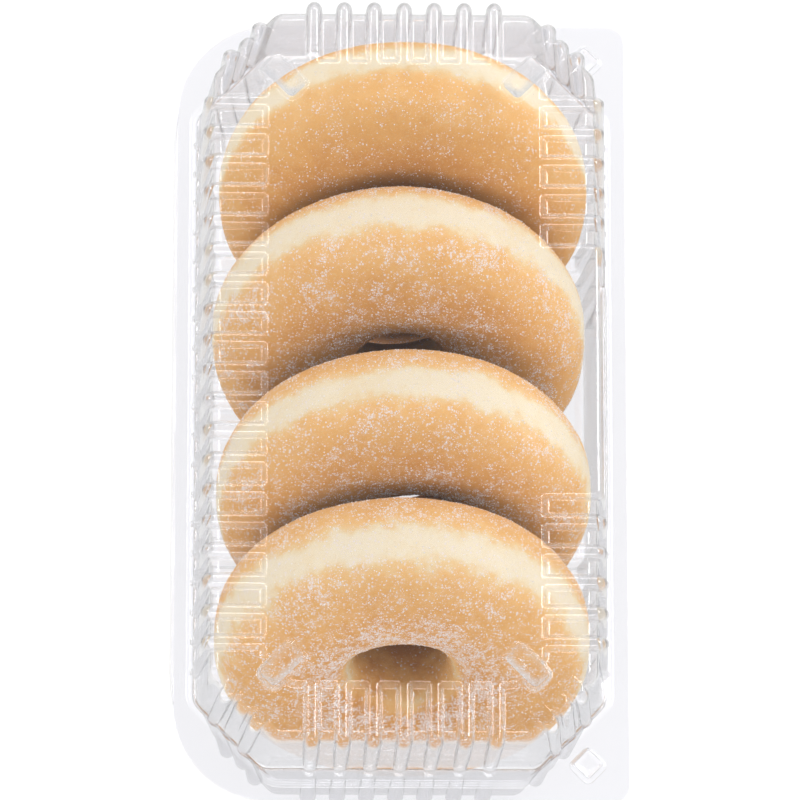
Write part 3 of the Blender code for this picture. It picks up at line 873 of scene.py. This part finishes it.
def fried_dough():
    """Sugared fried yeast dough: soft matt crust, golden to brown, over a cream band.

    Fine sugar and pores are drawn as coarse as they need to show, at half a millimetre or so.
    """
    material = bare_material("sugared_fried_dough")
    tree = material.node_tree
    place = add(tree, "ShaderNodeTexCoord").outputs["Object"]
    off_band = add(tree, "ShaderNodeAttribute", {"attribute_name": "off_band"}).outputs["Fac"]
    reach = add(tree, "ShaderNodeAttribute", {"attribute_name": "crust_reach"}).outputs["Fac"]
    cover = add(tree, "ShaderNodeAttribute", {"attribute_name": "sugar_cover"}).outputs["Fac"]

    def cloud(size, detail):
        settings = {"Scale": 1.0 / (size * MM), "Detail": detail, "Roughness": 0.6}
        return add(tree, "ShaderNodeTexNoise", settings, {"Vector": place}).outputs["Fac"]

    def combine(operation, first, second, third=0.0):
        links = {k: v for k, v in enumerate((first, second, third)) if not isinstance(v, float)}
        settings = {k: v for k, v in enumerate((first, second, third)) if isinstance(v, float)}
        return add(tree, "ShaderNodeMath", {"operation": operation, **settings}, links).outputs[0]

    def spread(value, low, high):
        settings = {"interpolation_type": "SMOOTHSTEP", 1: low, 2: high}
        return add(tree, "ShaderNodeMapRange", settings, {0: value}).outputs[0]

    def blend(share, first, second):
        links = {0: share, 6: first, 7: second}
        settings = {k: linear(v) for k, v in links.items() if isinstance(v, str)}
        links = {k: v for k, v in links.items() if not isinstance(v, str)}
        return add(tree, "ShaderNodeMix", {"data_type": "RGBA", **settings}, links).outputs[2]

    broad, mottle, pores = cloud(11.0, 3.0), cloud(3.5, 4.0), cloud(0.55, 2.0)
    ragged = combine("MULTIPLY_ADD", mottle, 0.9, combine("MULTIPLY_ADD", broad, 1.3, -1.05))
    past_band = spread(combine("ADD", off_band, ragged), 0.55, 2.3)
    # Painted shade: the crust is drawn browner towards the hole, standing in for the shade that falls inside
    # it
    inwards = combine("MULTIPLY_ADD", reach, -0.34, 0.34)
    fried = combine("MULTIPLY_ADD", past_band, 0.42, combine("MULTIPLY", inwards, past_band))
    fried = combine("MULTIPLY_ADD", combine("MINIMUM", off_band, 5.0), 0.035, fried)
    fried = combine("MULTIPLY_ADD", combine("SUBTRACT", broad, 0.5), 0.3, fried)
    fried = combine("MULTIPLY_ADD", combine("SUBTRACT", mottle, 0.5), 0.25, fried)
    crust = add(tree, "ShaderNodeValToRGB", None, {0: fried})
    stops = crust.color_ramp.elements
    while len(stops) < len(CRUST):
        stops.new(0.5)
    for stop, (share, code) in zip(stops, CRUST):
        stop.position = share
        stop.color = linear(code)
    speckled = blend(combine("MULTIPLY", spread(pores, 0.56, 0.72), 0.5), crust.outputs[0], PORE)
    clumps = spread(cloud(1.8, 4.0), 0.4, 0.62)

    def specks(size, share):
        cells = add(tree, "ShaderNodeTexVoronoi", {"Scale": 1.0 / (size * MM)}, {"Vector": place})
        chance = add(tree, "ShaderNodeSeparateColor", None, {0: cells.outputs["Color"]}).outputs[0]
        here = spread(combine("SUBTRACT", combine("MULTIPLY", share, cover), chance), -0.02, 0.04)
        grain = spread(combine("SUBTRACT", 0.44, cells.outputs["Distance"]), 0.0, 0.12)
        return combine("MULTIPLY", here, grain)

    coarse = specks(COARSE_SPECK, combine("MULTIPLY_ADD", clumps, 0.8, 0.35))
    fine = specks(FINE_SPECK, combine("MULTIPLY_ADD", clumps, 1.3, 0.1))
    film = combine("MULTIPLY", combine("MULTIPLY", cover, clumps), 0.28)
    dusty = combine("MULTIPLY_ADD", combine("MAXIMUM", coarse, fine), 0.8, film)
    dusty = combine("MINIMUM", dusty, 0.9)
    sugared = blend(dusty, speckled, SUGAR_DUST)
    relief = combine("MULTIPLY_ADD", mottle, 0.6, pores)
    surface = add(tree, "ShaderNodeBump", {"Strength": 0.4, "Distance": 0.25 * MM},
                  {"Height": relief})
    crumb = add(
        tree,
        "ShaderNodeBsdfPrincipled",
        {"Roughness": CRUST_ROUGHNESS, "Specular IOR Level": CRUST_SPECULAR},
        {"Base Color": sugared, "Normal": surface.outputs[0]},
    )
    add(tree, "ShaderNodeOutputMaterial", None, {"Surface": crumb.outputs[0]})
    return material


dough = fried_dough()
crusts = []
for number, (lean, turned) in enumerate(DOUGHNUTS, start=1):
    crust = doughnut(number, lean, turned, dough)
    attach(crust, "base")
    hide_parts(f"doughnut_{number}")
    crusts.append(crust)

# Sugar
# Grains of caster sugar that stick to the warm crust when it is rolled in them: small clear
# crystals that look white, half a millimetre and less across, in loose clumps.
# Grains scattered on each ring, before the bare spots between clumps lose theirs
GRAINS = (16000, 38000, 38000, 42000)
# Smallest and largest radius, and the size of the clumps
GRAIN_SIZES = (0.07, 0.27)
FEWER_LARGE = 2.2
SUGAR_INDEX = 1.54
SUGAR_TINTS = ("F3E4DA", "FFFBF8")
CLUMP = 1.6
CLUMP_EDGE = 0.5


def sugar_crystals():
    """Caster sugar: clear crystals, white from the light that they scatter."""
    material = bare_material("caster_sugar")
    tree = material.node_tree
    place = add(tree, "ShaderNodeTexCoord")
    tint = add(tree, "ShaderNodeTexNoise", {"Scale": 1.0 / (1.2 * MM)},
               {"Vector": place.outputs["Object"]})
    darker, lighter = (linear(code) for code in SUGAR_TINTS)
    colour = add(tree, "ShaderNodeMix", {"data_type": "RGBA", 6: darker, 7: lighter},
                 {0: tint.outputs["Fac"]})
    crystal = add(tree, "ShaderNodeBsdfPrincipled", {"Roughness": 0.3, "IOR": SUGAR_INDEX},
                  {"Base Color": colour.outputs[2]})
    add(tree, "ShaderNodeOutputMaterial", None, {"Surface": crystal.outputs[0]})
    return material


def grain_mesh():
    """One crystal: an uneven octahedron of radius 1."""
    mesh = bpy.data.meshes.new("sugar_grain")
    tips = [(1.0, 0.1, 0.0), (-0.9, 0.0, 0.1), (0.0, 1.1, 0.1),
            (0.1, -1.0, 0.0), (0.1, 0.0, 0.9), (0.0, 0.1, -0.9)]
    sides = [(0, 2, 4), (2, 1, 4), (1, 3, 4), (3, 0, 4),
             (2, 0, 5), (1, 2, 5), (3, 1, 5), (0, 3, 5)]
    mesh.from_pydata(tips, [], sides)
    return mesh


def sugar_tree():
    """Scatters grains over a crust, as thickly as its sugar cover says."""
    tree = bpy.data.node_groups.new("scattered_sugar", "GeometryNodeTree")
    socket = tree.interface.new_socket
    socket("Geometry", in_out="INPUT", socket_type="NodeSocketGeometry")
    socket("Grain", in_out="INPUT", socket_type="NodeSocketObject")
    for label in ("Grains in a square metre", "Smallest radius", "Largest radius", "Clump size"):
        socket(label, in_out="INPUT", socket_type="NodeSocketFloat")
    socket("Seed", in_out="INPUT", socket_type="NodeSocketInt")
    socket("Sugar", in_out="INPUT", socket_type="NodeSocketMaterial")
    socket("Geometry", in_out="OUTPUT", socket_type="NodeSocketGeometry")
    given = add(tree, "NodeGroupInput")
    cover = add(
        tree, "GeometryNodeInputNamedAttribute", {"data_type": "FLOAT", "Name": "sugar_cover"}
    )
    thick = add(tree, "ShaderNodeMath", {"operation": "MULTIPLY"},
                {0: cover.outputs[0], 1: given.outputs["Grains in a square metre"]})
    spots = add(tree, "GeometryNodeDistributePointsOnFaces", {"distribute_method": "RANDOM"},
                {"Mesh": given.outputs["Geometry"], "Density": thick.outputs[0],
                 "Seed": given.outputs["Seed"]})
    finer = add(tree, "ShaderNodeMath", {"operation": "DIVIDE", 0: 1.0},
                {1: given.outputs["Clump size"]})
    clumps = add(tree, "ShaderNodeTexNoise", {"Detail": 3.0}, {"Scale": finer.outputs[0]})
    bare = add(tree, "FunctionNodeCompare",
               {"data_type": "FLOAT", "operation": "LESS_THAN", 1: CLUMP_EDGE},
               {0: clumps.outputs[0]})
    kept = add(tree, "GeometryNodeDeleteGeometry", {"domain": "POINT"},
               {"Geometry": spots.outputs["Points"], "Selection": bare.outputs[0]})
    crystal = add(tree, "GeometryNodeObjectInfo", None, {"Object": given.outputs["Grain"]})
    spin = add(tree, "FunctionNodeRandomValue",
               {"data_type": "FLOAT_VECTOR", 0: (0.0, 0.0, 0.0), 1: (math.tau,) * 3},
               {"Seed": given.outputs["Seed"]})
    chance = add(tree, "FunctionNodeRandomValue", {"data_type": "FLOAT", 2: 0.0, 3: 1.0},
                 {"Seed": given.outputs["Seed"]})
    fewer_large = add(tree, "ShaderNodeMath", {"operation": "POWER", 1: FEWER_LARGE},
                      {0: chance.outputs[1]})
    size = add(tree, "ShaderNodeMapRange", None,
               {0: fewer_large.outputs[0], 3: given.outputs["Smallest radius"],
                4: given.outputs["Largest radius"]})
    grains = add(tree, "GeometryNodeInstanceOnPoints", None,
                 {"Points": kept.outputs[0], "Instance": crystal.outputs["Geometry"],
                  "Rotation": spin.outputs[0], "Scale": size.outputs[0]})
    realized = add(tree, "GeometryNodeRealizeInstances", None, {"Geometry": grains.outputs[0]})
    finished = add(tree, "GeometryNodeSetMaterial", None,
                   {"Geometry": realized.outputs[0], "Material": given.outputs["Sugar"]})
    add(tree, "NodeGroupOutput", None, {"Geometry": finished.outputs[0]})
    return tree


sugar = sugar_crystals()
scatter = sugar_tree()
grain = bpy.data.objects.new("sugar_grain", grain_mesh())
for number, crust in enumerate(crusts, start=1):
    cover = np.zeros(len(crust.data.vertices), np.float32)
    crust.data.attributes["sugar_cover"].data.foreach_get("value", cover)
    area = sum(face.area for face in crust.data.polygons)
    grains = bpy.data.objects.new(f"sugar_{number}", crust.data.copy())
    bpy.context.scene.collection.objects.link(grains)
    spread_out = grains.modifiers.new("Sugar", "NODES")
    spread_out.node_group = scatter
    values = {
        "Grain": grain,
        "Grains in a square metre": GRAINS[number - 1] / area / float(cover.mean()),
        "Smallest radius": GRAIN_SIZES[0] * MM,
        "Largest radius": GRAIN_SIZES[1] * MM,
        "Clump size": CLUMP * MM,
        "Seed": 40 + number,
        "Sugar": sugar,
    }
    for item in scatter.interface.items_tree:
        if item.name in values:
            spread_out[item.identifier] = values[item.name]
    depsgraph = bpy.context.evaluated_depsgraph_get()
    mesh = bpy.data.meshes.new_from_object(grains.evaluated_get(depsgraph))
    grains.modifiers.clear()
    grains.data = mesh
    mesh.name = grains.name
    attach(grains, "base")
bpy.data.objects.remove(grain)

# Lid
# The upper half, pressed from the same sheet, mouth down, with the same ribs, a stacking pad on
# each corner of its crown and a press button in each lock corner of its flange.
LID_DEPTH = 44.4
LID_LEVEL = 46.3
LID_BEAD = 1.0
LID_BEAD_INSET = 0.0
LID_RIB_FOOT = 1.0
BUTTON_RISE = 1.6

lid_sheet = formed_sheet(
    "lid_sheet", LID_DEPTH, LID_BEAD, LID_BEAD_INSET, LID_RIB_FOOT, True, BUTTON_RISE
)
press(lid_sheet, ribs_tree, pet, SHEET)
stand(lid_sheet, LID_LEVEL, False)
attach(lid_sheet, "lid")
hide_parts("lid")

# Living hinge
# The strip of the same sheet that joins the two flanges: a narrow round fold along the straight
# part of the hinge side, which unrolls when the lid is opened flat.
FOLD_HALF_LENGTH = 73.0
FOLD_END = 6.0
FOLD_STEPS = 14
FOLD_ROWS = 40
FOLD_LEVEL = 46.15


def hinge_fold(material):
    """A half tube round the fold, open towards the pack."""
    mesh = bpy.data.meshes.new("hinge_fold")
    spots, faces = [], []
    for row in range(FOLD_ROWS + 1):
        y = FOLD_HALF_LENGTH * (2.0 * row / FOLD_ROWS - 1.0)
        for step in range(FOLD_STEPS + 1):
            angle = math.radians(90.0 + 180.0 * step / FOLD_STEPS)
            reach = HINGE_FOLD * eased((FOLD_HALF_LENGTH - abs(y)) / FOLD_END)
            x = HINGE_FOLD - FLANGE[0] + reach * math.cos(angle)
            z = FOLD_LEVEL + HINGE_FOLD * math.sin(angle)
            spots.append((x * MM, y * MM, z * MM))
    for row in range(FOLD_ROWS):
        for step in range(FOLD_STEPS):
            a = row * (FOLD_STEPS + 1) + step
            b = a + FOLD_STEPS + 1
            faces.append((a, b, b + 1, a + 1))
    mesh.from_pydata(spots, [], faces)
    mesh.materials.append(material)
    mesh.shade_smooth()
    made = bpy.data.objects.new("hinge_fold", mesh)
    bpy.context.scene.collection.objects.link(made)
    wall = made.modifiers.new("Sheet", "SOLIDIFY")
    wall.thickness = SHEET * MM
    wall.offset = -1.0
    depsgraph = bpy.context.evaluated_depsgraph_get()
    whole = bpy.data.meshes.new_from_object(made.evaluated_get(depsgraph))
    made.modifiers.clear()
    made.data = whole
    return made


fold = hinge_fold(pet)
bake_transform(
    fold,
    "base",
    "lid",
    start=(-FLANGE[0] * MM, 0.0, (FOLD_LEVEL - HINGE_FOLD) * MM),
    end=(-FLANGE[0] * MM, 0.0, (FOLD_LEVEL + HINGE_FOLD) * MM),
)
